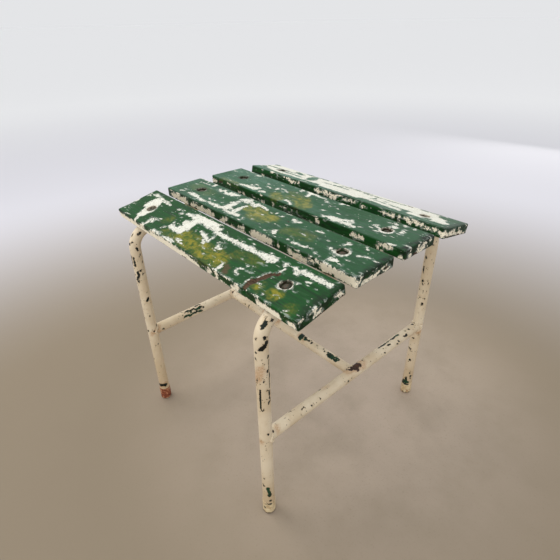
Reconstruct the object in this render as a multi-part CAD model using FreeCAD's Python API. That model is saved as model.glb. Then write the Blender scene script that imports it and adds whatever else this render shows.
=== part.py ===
"""Low backless bench: four wooden slats bolted across two bent steel tube frames.

Units are millimetres. The origin is on the floor, under the middle of the seat.
+X runs along the slats, +Y runs across them from the front slat to the back slat, +Z is up.
Each part in a function below becomes one file in parts/.
"""
import FreeCAD
import Part
import math
import os

# Seat slats
seat_length = 470.0
# Each slat's front and back edge, measured across it from its bolt line.
slat_edges = {
    "front_outer": (-38.5, 44.8),
    "front_inner": (-40.0, 38.5),
    "back_inner": (-38.5, 38.5),
    "back_outer": (-38.5, 38.5),
}
slat_thickness = 17.5
slat_long_edge_radius = 3.5
slat_end_edge_radius = 2.0

# Bent frame tubes: leg, top rail and leg in one piece
tube_diameter = 20.0
tube_wall = 1.5
frame_x = 176.0                 # centre plane of each frame
leg_y = 201.0                   # centre line of each leg
rail_crown_z = 412.5            # rail centre line at its highest point
crown_radius = 2500.0           # slight arch under the two inner slats
crown_half_width = 100.0        # where the slight arch ends
shoulder_radius = 330.0         # stronger arch that tips the outer slats
shoulder_slope = math.radians(11.0)
corner_radius = 35.0            # bend from rail to leg, on the centre line

# Low bars
low_bar_z = 182.0
side_stretcher_diameter = 20.0
cross_bar_diameter = 18.0
low_bar_wall = 1.5

# Weld beads
weld_spread = 3.5               # how far a bead reaches out from the tube that the bar meets
weld_height = 2.2               # how far it stands above the bar
weld_start = 1.0                # the bead keeps to the bar's side of the post's centre line

# Foot caps
cap_diameter = 21.8
cap_height = 28.0
cap_floor = 2.0
cap_edge_radius = 3.0
cap_rim_radius = 0.6

# Coach bolts, washers and nuts (M6)
outer_bolt_y = 151.8            # rail centre line under the outer slats' bolts
inner_bolt_y = 50.4
bolt_diameter = 6.0
bolt_length = 40.0              # below the head
bolt_hole_diameter = 6.5
bolt_head_diameter = 13.0
bolt_head_height = 3.4
neck_width = 6.0                # square neck that bites into the wood
neck_depth = 4.0
counterbore_diameter = 17.0
counterbore_depth = 5.0
counterbore_chamfer = 1.2
washer_diameter = 12.0
washer_thickness = 1.6
nut_across_flats = 10.0
nut_height = 5.0
nut_chamfer_spread = 2.0        # the lower face's chamfer widens this much per unit of height

AXIS_X = FreeCAD.Vector(1, 0, 0)
AXIS_Y = FreeCAD.Vector(0, 1, 0)
AXIS_Z = FreeCAD.Vector(0, 0, 1)
ORIGIN = FreeCAD.Vector(0, 0, 0)

tube_radius = tube_diameter / 2

# The rail's centre line, from the middle out: crown arc, shoulder arc, straight run, corner bend.
crown_end_slope = math.asin(crown_half_width / crown_radius)
crown_end_z = rail_crown_z - crown_radius * (1 - math.cos(crown_end_slope))
shoulder_end_y = crown_half_width + shoulder_radius * (math.sin(shoulder_slope) - math.sin(crown_end_slope))
shoulder_end_z = crown_end_z - shoulder_radius * (math.cos(crown_end_slope) - math.cos(shoulder_slope))
corner_start_y = leg_y - corner_radius * (1 - math.sin(shoulder_slope))
corner_start_z = shoulder_end_z - (corner_start_y - shoulder_end_y) * math.tan(shoulder_slope)
leg_top_z = corner_start_z - corner_radius * math.cos(shoulder_slope)


def point_yz(y, z):
    """A point in a frame's plane, before the frame is moved to its own x."""
    return FreeCAD.Vector(0, y, z)


def rail_slope(y):
    """Downward slope of the rail's centre line at distance y from the middle."""
    if y <= crown_half_width:
        return math.asin(y / crown_radius)
    if y <= shoulder_end_y:
        return math.asin((y - crown_half_width) / shoulder_radius + math.sin(crown_end_slope))
    return shoulder_slope


def rail_height(y):
    """Height of the rail's centre line at distance y from the middle."""
    slope = rail_slope(y)
    if y <= crown_half_width:
        return rail_crown_z - crown_radius * (1 - math.cos(slope))
    if y <= shoulder_end_y:
        return crown_end_z - shoulder_radius * (math.cos(crown_end_slope) - math.cos(slope))
    return shoulder_end_z - (y - shoulder_end_y) * math.tan(shoulder_slope)


def slat_placement(bolt_y):
    """Local frame on the rail's centre line: z is square to the slat, x stays along the bench."""
    side = math.copysign(1, bolt_y)
    distance = abs(bolt_y)
    base = FreeCAD.Vector(0, bolt_y, rail_height(distance))
    tilt = -side * math.degrees(rail_slope(distance))
    return FreeCAD.Placement(base, FreeCAD.Rotation(AXIS_X, tilt))


def frame_path():
    """Centre line of one bent frame tube, from the front foot to the back foot."""
    corner_centre_y = leg_y - corner_radius
    corner_mid_angle = (math.pi / 2 - shoulder_slope) / 2
    corner_mid = (corner_centre_y + corner_radius * math.cos(corner_mid_angle),
                  leg_top_z + corner_radius * math.sin(corner_mid_angle))
    shoulder_mid_y = (crown_half_width + shoulder_end_y) / 2
    shoulder_mid = (shoulder_mid_y, rail_height(shoulder_mid_y))
    foot = point_yz(-leg_y, cap_floor)
    edges = [
        Part.LineSegment(foot, point_yz(-leg_y, leg_top_z)),
        Part.Arc(point_yz(-leg_y, leg_top_z),
                 point_yz(-corner_mid[0], corner_mid[1]),
                 point_yz(-corner_start_y, corner_start_z)),
        Part.LineSegment(point_yz(-corner_start_y, corner_start_z),
                         point_yz(-shoulder_end_y, shoulder_end_z)),
        Part.Arc(point_yz(-shoulder_end_y, shoulder_end_z),
                 point_yz(-shoulder_mid[0], shoulder_mid[1]),
                 point_yz(-crown_half_width, crown_end_z)),
        Part.Arc(point_yz(-crown_half_width, crown_end_z),
                 point_yz(0, rail_crown_z),
                 point_yz(crown_half_width, crown_end_z)),
        Part.Arc(point_yz(crown_half_width, crown_end_z),
                 point_yz(shoulder_mid[0], shoulder_mid[1]),
                 point_yz(shoulder_end_y, shoulder_end_z)),
        Part.LineSegment(point_yz(shoulder_end_y, shoulder_end_z),
                         point_yz(corner_start_y, corner_start_z)),
        Part.Arc(point_yz(corner_start_y, corner_start_z),
                 point_yz(corner_mid[0], corner_mid[1]),
                 point_yz(leg_y, leg_top_z)),
        Part.LineSegment(point_yz(leg_y, leg_top_z), point_yz(leg_y, cap_floor)),
    ]
    return Part.Wire([edge.toShape() for edge in edges])


def swept_rod(radius):
    """A solid rod of the given radius along the whole frame path."""
    profile = Part.Wire(Part.makeCircle(radius, point_yz(-leg_y, cap_floor), AXIS_Z))
    return frame_path().makePipeShell([profile], True, False)


def frame_tube(x):
    """One bent tube with a bolt hole down through the rail under each slat."""
    tube = swept_rod(tube_radius).cut(swept_rod(tube_radius - tube_wall))
    for bolt_y in bolt_lines.values():
        hole = Part.makeCylinder(bolt_hole_diameter / 2, 2 * tube_diameter, -AXIS_Z * tube_diameter)
        hole.Placement = slat_placement(bolt_y)
        tube = tube.cut(hole)
    tube.translate(AXIS_X * x)
    return tube


def straight_tube(start, end, diameter):
    """A straight hollow bar between two points."""
    direction = end - start
    outer = Part.makeCylinder(diameter / 2, direction.Length, start, direction)
    inner = Part.makeCylinder(diameter / 2 - low_bar_wall, direction.Length, start, direction)
    return outer.cut(inner)


def side_stretcher(x):
    """Low bar from leg to leg of one frame, its ends cut to fit round the legs."""
    bar = straight_tube(FreeCAD.Vector(x, -leg_y, low_bar_z), FreeCAD.Vector(x, leg_y, low_bar_z),
                        side_stretcher_diameter)
    for y in (-leg_y, leg_y):
        leg = Part.makeCylinder(tube_radius, leg_top_z, FreeCAD.Vector(x, y, 0), AXIS_Z)
        bar = bar.cut(leg)
    return bar


def cross_bar():
    """Bar between the two side stretchers' middles, its ends cut to fit round them."""
    bar = straight_tube(FreeCAD.Vector(-frame_x, 0, low_bar_z), FreeCAD.Vector(frame_x, 0, low_bar_z),
                        cross_bar_diameter)
    for x in (-frame_x, frame_x):
        stretcher = Part.makeCylinder(side_stretcher_diameter / 2, 2 * leg_y,
                                      FreeCAD.Vector(x, -leg_y, low_bar_z), AXIS_Y)
        bar = bar.cut(stretcher)
    return bar


def weld_bead(joint, bar_direction, post_direction, bar_radius, post_radius):
    """Bead round a bar's end where it meets a post, hugging both tubes.

    The joint is where the two centre lines cross, and bar_direction points along the bar away from it.
    """
    reach = 4 * post_radius
    bar_start = joint + bar_direction * weld_start

    def bar(radius):
        return Part.makeCylinder(radius, reach, bar_start, bar_direction)

    def post(radius):
        return Part.makeCylinder(radius, reach, joint - post_direction * (reach / 2), post_direction)

    bead = bar(bar_radius + weld_height).common(post(post_radius + weld_spread))
    return bead.cut(bar(bar_radius)).cut(post(post_radius))


def foot_cap(x, y):
    """Pressed steel cup over a leg's end, with a rounded edge at the floor."""
    radius = cap_diameter / 2
    turn = math.sqrt(0.5)

    def point(r, z):
        return FreeCAD.Vector(r, 0, z)

    edge_mid = point(radius - cap_edge_radius * (1 - turn), cap_edge_radius * (1 - turn))
    rim_mid = point(radius - cap_rim_radius * (1 - turn), cap_height - cap_rim_radius * (1 - turn))
    outline = [
        Part.LineSegment(point(0, 0), point(radius - cap_edge_radius, 0)),
        Part.Arc(point(radius - cap_edge_radius, 0), edge_mid, point(radius, cap_edge_radius)),
        Part.LineSegment(point(radius, cap_edge_radius), point(radius, cap_height - cap_rim_radius)),
        Part.Arc(point(radius, cap_height - cap_rim_radius), rim_mid,
                 point(radius - cap_rim_radius, cap_height)),
        Part.LineSegment(point(radius - cap_rim_radius, cap_height), point(tube_radius, cap_height)),
        Part.LineSegment(point(tube_radius, cap_height), point(tube_radius, cap_floor)),
        Part.LineSegment(point(tube_radius, cap_floor), point(0, cap_floor)),
        Part.LineSegment(point(0, cap_floor), point(0, 0)),
    ]
    face = Part.Face(Part.Wire([edge.toShape() for edge in outline]))
    cap = face.revolve(ORIGIN, AXIS_Z, 360)
    cap.translate(FreeCAD.Vector(x, y, 0))
    return cap


def bolt_positions():
    """x of the two bolts along a slat."""
    return (-frame_x, frame_x)


def slat_bolt_hole(x):
    """What a coach bolt takes out of a slat: counterbore, square for the neck, round hole."""
    top = tube_radius + slat_thickness
    seat = top - counterbore_depth
    radius = counterbore_diameter / 2
    counterbore = Part.makeCylinder(radius, counterbore_depth, FreeCAD.Vector(x, 0, seat), AXIS_Z)
    chamfer = Part.makeCone(radius, radius + counterbore_chamfer, counterbore_chamfer,
                            FreeCAD.Vector(x, 0, top - counterbore_chamfer), AXIS_Z)
    square = Part.makeBox(neck_width, neck_width, neck_depth,
                          FreeCAD.Vector(x - neck_width / 2, -neck_width / 2, seat - neck_depth))
    round_hole = Part.makeCylinder(bolt_hole_diameter / 2, slat_thickness,
                                   FreeCAD.Vector(x, 0, tube_radius), AXIS_Z)
    return counterbore.fuse([chamfer, square, round_hole])


def slat(bolt_y, front_edge, back_edge):
    """One wooden slat lying on both rails, rounded on every edge."""
    board = Part.makeBox(seat_length, back_edge - front_edge, slat_thickness,
                         FreeCAD.Vector(-seat_length / 2, front_edge, tube_radius))
    long_edges = [edge for edge in board.Edges if edge.BoundBox.XLength > seat_length / 2]
    board = board.makeFillet(slat_long_edge_radius, long_edges)
    end_edges = [edge for edge in board.Edges
                 if edge.BoundBox.XLength < slat_end_edge_radius
                 and abs(edge.BoundBox.XMax) > seat_length / 2 - slat_end_edge_radius]
    board = board.makeFillet(slat_end_edge_radius, end_edges)
    for x in bolt_positions():
        board = board.cut(slat_bolt_hole(x))
    board.Placement = slat_placement(bolt_y)
    return board


def coach_bolt(x):
    """Domed head in the counterbore, square neck in the wood, shank down through the rail."""
    seat = tube_radius + slat_thickness - counterbore_depth
    radius = bolt_head_diameter / 2
    dome_radius = (radius ** 2 + bolt_head_height ** 2) / (2 * bolt_head_height)
    dome = Part.makeSphere(dome_radius, FreeCAD.Vector(x, 0, seat + bolt_head_height - dome_radius))
    above_seat = Part.makeCylinder(radius, bolt_head_height, FreeCAD.Vector(x, 0, seat), AXIS_Z)
    neck = Part.makeBox(neck_width, neck_width, neck_depth,
                        FreeCAD.Vector(x - neck_width / 2, -neck_width / 2, seat - neck_depth))
    shank = Part.makeCylinder(bolt_diameter / 2, bolt_length, FreeCAD.Vector(x, 0, seat), -AXIS_Z)
    return dome.common(above_seat).fuse([neck, shank]).removeSplitter()


def washer(x):
    """Flat washer under the rail."""
    bottom = FreeCAD.Vector(x, 0, -tube_radius - washer_thickness)
    disc = Part.makeCylinder(washer_diameter / 2, washer_thickness, bottom, AXIS_Z)
    return disc.cut(Part.makeCylinder(bolt_hole_diameter / 2, washer_thickness, bottom, AXIS_Z))


def nut(x):
    """Hexagon nut under the washer, chamfered on its lower face."""
    bottom_z = -tube_radius - washer_thickness - nut_height
    hexagon_radius = nut_across_flats / math.sqrt(3)
    corners = []
    for index in range(7):
        angle = math.radians(60 * index)
        corners.append(FreeCAD.Vector(x + hexagon_radius * math.cos(angle),
                                      hexagon_radius * math.sin(angle), bottom_z))
    prism = Part.Face(Part.makePolygon(corners)).extrude(AXIS_Z * nut_height)
    face_radius = nut_across_flats / 2
    lower_cone = Part.makeCone(face_radius, face_radius + nut_chamfer_spread * nut_height, nut_height,
                               FreeCAD.Vector(x, 0, bottom_z), AXIS_Z)
    bore = Part.makeCylinder(bolt_diameter / 2, nut_height, FreeCAD.Vector(x, 0, bottom_z), AXIS_Z)
    return prism.common(lower_cone).cut(bore)


def fasteners(make_one, bolt_y):
    """The two identical fasteners of one slat, as separate solids in one part."""
    group = Part.makeCompound([make_one(x) for x in bolt_positions()])
    group.Placement = slat_placement(bolt_y)
    return group


def weld_beads():
    """A bead where each bar meets a tube, one part per joint."""
    beads = {}
    for side_name, side_x in sides.items():
        for end_name, end in (("front", -1), ("back", 1)):
            beads["weld_" + side_name + "_" + end_name] = weld_bead(
                FreeCAD.Vector(side_x, end * leg_y, low_bar_z), AXIS_Y * -end, AXIS_Z,
                side_stretcher_diameter / 2, tube_radius)
        inward = -math.copysign(1, side_x)
        beads["weld_cross_bar_" + side_name] = weld_bead(
            FreeCAD.Vector(side_x, 0, low_bar_z), AXIS_X * inward, AXIS_Y,
            cross_bar_diameter / 2, side_stretcher_diameter / 2)
    return beads


def all_parts():
    """Every part of the bench by name."""
    parts = {"cross_bar": cross_bar()}
    parts.update(weld_beads())
    for side_name, side_x in sides.items():
        parts["frame_tube_" + side_name] = frame_tube(side_x)
        parts["side_stretcher_" + side_name] = side_stretcher(side_x)
        for end_name, end in (("front", -1), ("back", 1)):
            parts["foot_cap_" + side_name + "_" + end_name] = foot_cap(side_x, end * leg_y)
    for slat_name, bolt_y in bolt_lines.items():
        front_edge, back_edge = slat_edges[slat_name]
        parts["slat_" + slat_name] = slat(bolt_y, front_edge, back_edge)
        parts["bolts_" + slat_name] = fasteners(coach_bolt, bolt_y)
        parts["washers_" + slat_name] = fasteners(washer, bolt_y)
        parts["nuts_" + slat_name] = fasteners(nut, bolt_y)
    return parts


sides = {"left": -frame_x, "right": frame_x}
bolt_lines = {
    "front_outer": -outer_bolt_y,
    "front_inner": -inner_bolt_y,
    "back_inner": inner_bolt_y,
    "back_outer": outer_bolt_y,
}

os.makedirs("parts", exist_ok=True)
for part_name, shape in all_parts().items():
    shape.exportStep(os.path.join("parts", part_name + ".step"))
    print(part_name, "solids", len(shape.Solids), "valid", shape.isValid(), "volume", round(shape.Volume))
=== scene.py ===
"""Looks of the backless bench: four worn painted slats on two cream tubular steel frames.

Lengths in the tables below are millimetres, turned into metres where meshes are made.
Slat places are u (along the slat from its middle), v (across it, towards the back) and
h (up from its underside). Tube places are s (along the tube from its start) and an angle.
"""
import math

import bpy
import numpy as np
from mathutils import Matrix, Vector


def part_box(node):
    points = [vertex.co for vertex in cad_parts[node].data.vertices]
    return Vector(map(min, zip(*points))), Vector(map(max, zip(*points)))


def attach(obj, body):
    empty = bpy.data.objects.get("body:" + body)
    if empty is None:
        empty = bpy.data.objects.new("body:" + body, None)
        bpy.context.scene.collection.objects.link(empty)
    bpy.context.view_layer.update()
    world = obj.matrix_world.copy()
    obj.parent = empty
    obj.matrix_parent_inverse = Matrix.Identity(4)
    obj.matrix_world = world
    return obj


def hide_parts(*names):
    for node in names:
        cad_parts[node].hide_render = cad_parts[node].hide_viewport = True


MM = 0.001
# Depths are mm inside a mark; this one stands for a point that no mark is near.
OUTSIDE = -9.0
DEPTH_LIMIT = 6.0
OCTAVE_STEP = 2.03
NOISE_GAIN = 1.15


# ---------------------------------------------------------------- noise and stroke fields

def lattice_hash(x, y, z, seed):
    """A repeatable number from -1 to 1 for each whole-number lattice point."""
    h = x * 374761393 + y * 668265263 + z * 1440662683 + seed * 974711
    h = (h & 0xFFFFFFFF).astype(np.uint64)
    h = ((h ^ (h >> 13)) * 1274126177) & 0xFFFFFFFF
    h = ((h ^ (h >> 16)) * 2246822519) & 0xFFFFFFFF
    return ((h ^ (h >> 15)) & 0xFFFFFF).astype(float) / 0x7FFFFF - 1.0


def noise(points, scale, seed, octaves=3):
    """Smooth lumps from about -1 to 1; scale is the lump size in mm along each axis."""
    total = np.zeros(len(points))
    strength = 1.0
    cell = points / np.array(scale, float)
    for octave in range(octaves):
        base = np.floor(cell).astype(np.int64)
        t = cell - base
        t = t * t * (3 - 2 * t)
        value = np.zeros(len(points))
        for corner in range(8):
            dx, dy, dz = corner & 1, corner >> 1 & 1, corner >> 2 & 1
            weight = ((t[:, 0] if dx else 1 - t[:, 0])
                      * (t[:, 1] if dy else 1 - t[:, 1])
                      * (t[:, 2] if dz else 1 - t[:, 2]))
            value += weight * lattice_hash(base[:, 0] + dx, base[:, 1] + dy, base[:, 2] + dz, seed + octave)
        total += strength * value
        strength *= 0.5
        cell = cell * OCTAVE_STEP
    return total * NOISE_GAIN


def stroke_depth(points, start, end, radius):
    """How far each point lies inside a round-ended stroke; negative outside it."""
    start = np.array(start, float)
    run = np.array(end, float) - start
    length2 = max(float(run @ run), 1e-9)
    t = np.clip(((points - start) @ run) / length2, 0, 1)
    gap = points - (start + t[:, None] * run)
    return radius - np.sqrt((gap * gap).sum(1))


def field(points, strokes):
    """The deepest stroke at each point."""
    depth = np.full(len(points), OUTSIDE)
    for start, end, radius in strokes:
        depth = np.maximum(depth, stroke_depth(points, start, end, radius))
    return depth


def stored(depth):
    """A depth in mm as meshes keep it for the materials, within their range."""
    return np.clip(depth, -DEPTH_LIMIT, DEPTH_LIMIT)


def smoothstep(value, low, high):
    """A soft step from 0 to 1 as value goes from low to high."""
    t = np.clip((value - low) / (high - low), 0, 1)
    return t * t * (3 - 2 * t)


def make_mesh(name, points_mm, faces, attributes, material):
    """A smooth-shaded mesh object from millimetre points, with float attributes on its points."""
    mesh = bpy.data.meshes.new(name)
    mesh.from_pydata((points_mm * MM).tolist(), [], faces)
    mesh.validate()
    for key, values in attributes.items():
        layer = mesh.attributes.new(key, "FLOAT", "POINT")
        layer.data.foreach_set("value", np.asarray(values, np.float32))
    mesh.polygons.foreach_set("use_smooth", [True] * len(mesh.polygons))
    mesh.materials.append(material)
    mesh.update()
    piece = bpy.data.objects.new(name, mesh)
    bpy.context.scene.collection.objects.link(piece)
    return piece


# ---------------------------------------------------------------- material helpers

def srgb(r, g, b):
    """Linear colour from 0-255 screen values."""
    channels = [c / 255 for c in (r, g, b)]
    return [c / 12.92 if c <= 0.04045 else ((c + 0.055) / 1.055) ** 2.4 for c in channels] + [1.0]


class Shader:
    """Short calls for the nodes of one material."""

    def __init__(self, name):
        self.material = bpy.data.materials.new(name)
        self.material.use_nodes = True
        self.tree = self.material.node_tree
        self.tree.nodes.clear()
        self.out = self.tree.nodes.new("ShaderNodeOutputMaterial")
        self.surface = self.tree.nodes.new("ShaderNodeBsdfPrincipled")
        self.tree.links.new(self.surface.outputs[0], self.out.inputs[0])
        self.place = self.tree.nodes.new("ShaderNodeTexCoord").outputs["Object"]

    def put(self, socket, value):
        """Link a socket to another one, or set its value."""
        if isinstance(value, bpy.types.NodeSocket):
            self.tree.links.new(value, socket)
        else:
            socket.default_value = value

    def add(self, kind, inputs, **settings):
        """A new node with its settings, and its inputs by name or number."""
        node = self.tree.nodes.new("ShaderNode" + kind)
        for name, value in settings.items():
            setattr(node, name, value)
        for socket, value in inputs.items():
            self.put(node.inputs[socket], value)
        return node

    def attribute(self, name):
        return self.add("Attribute", {}, attribute_name=name).outputs["Fac"]

    def math(self, operation, a, b=0.0, c=0.0, clamp=False):
        return self.add("Math", {0: a, 1: b, 2: c}, operation=operation, use_clamp=clamp).outputs[0]

    def times(self, a, b, clamp=False):
        return self.math("MULTIPLY", a, b, clamp=clamp)

    def times_plus(self, a, b, c, clamp=False):
        """a times b, plus c."""
        return self.math("MULTIPLY_ADD", a, b, c, clamp)

    def height(self):
        return self.add("SeparateXYZ", {0: self.place}).outputs["Z"]

    def distance(self, point):
        """Distance from a point, in metres."""
        return self.add("VectorMath", {0: self.place, 1: point}, operation="DISTANCE").outputs["Value"]

    def stretched(self, scale):
        return self.add("Mapping", {"Vector": self.place, "Scale": scale}).outputs[0]

    def noise(self, scale, detail=4.0, roughness=0.6, distortion=0.0):
        """Noise with the given number of lumps per metre along each axis."""
        inputs = {"Vector": self.stretched(scale), "Scale": 1.0, "Detail": detail, "Roughness": roughness,
                  "Distortion": distortion}
        return self.add("TexNoise", inputs).outputs["Fac"]

    def cells(self, scale):
        """Distance to the nearest cell's middle, with the given number of cells per metre."""
        return self.add("TexVoronoi", {"Vector": self.stretched(scale), "Scale": 1.0}).outputs["Distance"]

    def ramp(self, value, low, high, out_low=0.0, out_high=1.0):
        """A soft step from out_low to out_high as value goes from low to high."""
        inputs = {0: value, 1: low, 2: high, 3: out_low, 4: out_high}
        return self.add("MapRange", inputs, interpolation_type="SMOOTHSTEP").outputs[0]

    def mix(self, factor, a, b):
        """Colour a where factor is 0 and colour b where it is 1."""
        return self.add("Mix", {0: factor, 6: a, 7: b}, data_type="RGBA").outputs[2]

    def bump(self, height, distance, strength):
        inputs = {"Strength": strength, "Distance": distance, "Height": height}
        return self.add("Bump", inputs).outputs[0]

    def finish(self, colour, roughness, normal, metallic=0.0):
        """Fill the surface's main sockets and hand back the material."""
        for name, value in (("Base Color", colour), ("Roughness", roughness), ("Normal", normal),
                            ("Metallic", metallic)):
            self.put(self.surface.inputs[name], value)
        return self.material


FLAKE_MIDDLE = 0.42
FLAKE_SHARE = 0.45


def torn_depth(shader, depth, grain, flakes, reach):
    """A depth attribute in mm with its outline torn by a noise and by flake-sized cells."""
    torn = shader.times_plus(shader.math("SUBTRACT", grain, 0.5), reach, depth)
    return shader.times_plus(shader.math("SUBTRACT", FLAKE_MIDDLE, flakes), reach * FLAKE_SHARE, torn)


def slat_material():
    """Green gloss over cream primer over wood, weathered."""
    s = Shader("green_slat_paint")
    side = s.attribute("side")
    edge = s.attribute("edge")
    fine = s.noise((480, 260, 260), 5, 0.68)
    flakes = s.cells((430, 300, 300))
    streaks = s.noise((14, 260, 260), 4, 0.55, 0.4)
    scratches = s.noise((70, 520, 520), 4, 0.6, 0.8)
    broad = s.noise((22, 50, 50), 3, 0.55)
    blots = s.noise((75, 120, 120), 5, 0.65, 0.6)

    green = s.mix(s.ramp(streaks, 0.3, 0.72), srgb(0, 46, 8), srgb(12, 78, 24))
    green = s.mix(s.ramp(broad, 0.35, 0.75), green, srgb(6, 68, 20))
    green = s.mix(s.ramp(scratches, 0.56, 0.72, 0.0, 0.3), green, srgb(52, 100, 56))
    # Painted sheen: the tops of the back slats turn a pale grey green.
    haze = s.times(s.attribute("haze"), s.ramp(blots, 0.2, 0.8, 0.45, 1.0))
    green = s.mix(haze, green, srgb(102, 138, 122))
    olive = s.mix(s.ramp(blots, 0.36, 0.66), srgb(50, 84, 12), srgb(132, 126, 28))
    olive = s.mix(s.ramp(fine, 0.54, 0.74, 0.0, 0.7), olive, srgb(156, 116, 44))
    stained = s.times(s.attribute("stain"), s.ramp(blots, 0.2, 0.5, 0.3, 1.0), clamp=True)
    green = s.mix(stained, green, olive)
    # Stained patches under the painted sheen turn pale.
    green = s.mix(s.times(stained, s.times(haze, 0.6)), green, srgb(170, 174, 140))
    brown = s.times(s.attribute("brown"), s.ramp(fine, 0.3, 0.65, 0.35, 1.0), clamp=True)
    green = s.mix(brown, green, srgb(84, 62, 40))
    # Painted shade on the side faces and at the right end, and darker along the arrises.
    dark_edge = s.times(edge, s.ramp(blots, 0.3, 0.62, 0.25, 1.0), clamp=True)
    green = s.mix(dark_edge, green, srgb(16, 26, 14))

    cream = s.mix(s.ramp(fine, 0.3, 0.75), srgb(232, 233, 222), srgb(206, 203, 186))
    cream = s.mix(s.ramp(blots, 0.5, 0.8, 0.0, 0.55), cream, srgb(186, 182, 160))
    # Painted light: the cream is lighter on the side faces.
    cream = s.mix(s.times(side, 0.85), cream, srgb(255, 244, 218))
    cream = s.mix(s.ramp(scratches, 0.62, 0.74, 0.0, 0.6), cream, srgb(116, 124, 106))
    pits = s.ramp(s.cells((190, 260, 260)), 0.1, 0.2, 1.0, 0.0)
    cream = s.mix(s.times(pits, s.ramp(broad, 0.45, 0.6)), cream, srgb(52, 60, 38))
    grain = s.noise((24, 620, 620), 5, 0.6, 0.6)
    wood = s.mix(s.ramp(grain, 0.3, 0.7), srgb(52, 38, 28), srgb(98, 76, 56))
    wood = s.mix(s.ramp(blots, 0.5, 0.8, 0.0, 0.6), wood, srgb(38, 28, 22))

    chip = torn_depth(s, s.attribute("chip"), fine, flakes, 5.2)
    bare = torn_depth(s, s.attribute("bare"), fine, flakes, 3.6)
    cream_mask = s.ramp(chip, -0.25, 0.25)
    islands = s.ramp(s.noise((330, 420, 420), 3, 0.6, 0.5), 0.56, 0.6)
    islands = s.times(islands, s.ramp(chip, 4.5, 1.0))
    cream_mask = s.times(cream_mask, s.math("SUBTRACT", 1.0, islands), clamp=True)
    wood_mask = s.ramp(bare, -0.3, 0.3)
    scratched = s.times_plus(s.math("SUBTRACT", scratches, 0.5), 9.0, s.attribute("chip"))
    rubbed = s.ramp(scratched, -2.6, -0.2)
    rim = s.ramp(chip, -1.1, -0.2)
    colour = s.mix(s.times(rubbed, s.ramp(blots, 0.42, 0.6, 0.05, 0.6)), green, srgb(168, 180, 170))
    colour = s.mix(s.times(rim, 0.3), colour, srgb(18, 36, 20))
    specks = s.ramp(s.cells((105, 150, 150)), 0.07, 0.12, 1.0, 0.0)
    specks = s.times(specks, s.ramp(blots, 0.46, 0.56))
    colour = s.mix(specks, colour, srgb(214, 216, 200))
    colour = s.mix(cream_mask, colour, cream)
    colour = s.mix(wood_mask, colour, wood)
    grime = s.times(s.attribute("grime"), s.ramp(fine, 0.3, 0.62, 0.45, 1.0))
    colour = s.mix(grime, colour, srgb(52, 42, 28))

    roughness = s.ramp(streaks, 0.2, 0.8, 0.42, 0.6)
    roughness = s.times_plus(cream_mask, 0.18, roughness)
    roughness = s.times_plus(wood_mask, 0.25, roughness, clamp=True)
    thickness = s.math("SUBTRACT", s.times(cream_mask, -1.0), wood_mask)
    relief = s.times_plus(grain, 0.25, thickness)
    relief = s.times_plus(fine, 0.3, relief)
    s.surface.inputs["Specular IOR Level"].default_value = 0.18
    return s.finish(colour, roughness, s.bump(relief, 0.0005, 0.8))


def tube_material():
    """Aged cream paint, chipped to old green paint and dark steel, with a little rust."""
    s = Shader("cream_tube_paint")
    fine = s.noise((560, 560, 560), 5, 0.68)
    flakes = s.cells((520, 520, 420))
    blots = s.noise((80, 80, 80), 5, 0.6)
    broad = s.noise((16, 16, 16), 3, 0.5)

    cream = s.mix(s.ramp(broad, 0.3, 0.72), srgb(231, 216, 189), srgb(212, 192, 160))
    cream = s.mix(s.ramp(blots, 0.5, 0.8, 0.0, 0.5), cream, srgb(198, 172, 132))
    cream = s.mix(s.ramp(fine, 0.6, 0.74, 0.0, 0.35), cream, srgb(150, 124, 88))
    specks = s.ramp(s.cells((170, 170, 170)), 0.10, 0.17, 1.0, 0.0)
    cream = s.mix(s.times(specks, s.ramp(blots, 0.47, 0.56, 0.0, 0.9)), cream, srgb(58, 46, 32))
    # Painted shade: the cream darkens and yellows below 0.17 m, most at the feet.
    cream = s.mix(s.ramp(s.height(), 0.17, 0.0, 0.0, 0.45), cream, srgb(172, 142, 98))
    rusty = s.times(s.attribute("rust"), s.ramp(fine, 0.3, 0.7, 0.15, 0.8), clamp=True)
    cream = s.mix(rusty, cream, srgb(176, 122, 70))
    dark = s.mix(s.ramp(blots, 0.42, 0.58), srgb(9, 11, 8), srgb(14, 26, 18))
    old_green = s.mix(s.ramp(blots, 0.4, 0.6), srgb(8, 20, 12), srgb(20, 62, 38))
    dark = s.mix(s.attribute("green"), dark, old_green)
    steel = s.mix(s.ramp(fine, 0.3, 0.7), srgb(40, 28, 24), srgb(78, 56, 46))
    steel = s.mix(s.ramp(blots, 0.5, 0.8, 0.0, 0.5), steel, srgb(104, 66, 42))

    chip = torn_depth(s, s.attribute("chip"), fine, flakes, 3.6)
    bare = torn_depth(s, s.attribute("bare"), fine, flakes, 4.0)
    dark_mask = s.ramp(chip, -0.2, 0.2)
    steel_mask = s.ramp(bare, -0.2, 0.2)
    halo = s.ramp(chip, -1.5, -0.2)
    colour = s.mix(s.times(halo, 0.3), cream, srgb(176, 150, 110))
    colour = s.mix(dark_mask, colour, dark)
    colour = s.mix(steel_mask, colour, steel)

    roughness = s.ramp(blots, 0.25, 0.8, 0.42, 0.6)
    roughness = s.times_plus(steel_mask, 0.2, roughness, clamp=True)
    thickness = s.times(s.math("MAXIMUM", dark_mask, steel_mask), -1.0)
    relief = s.times_plus(fine, 0.15, s.times_plus(blots, 0.5, thickness))
    s.surface.inputs["Specular IOR Level"].default_value = 0.3
    return s.finish(colour, roughness, s.bump(relief, 0.0004, 0.7))


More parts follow.
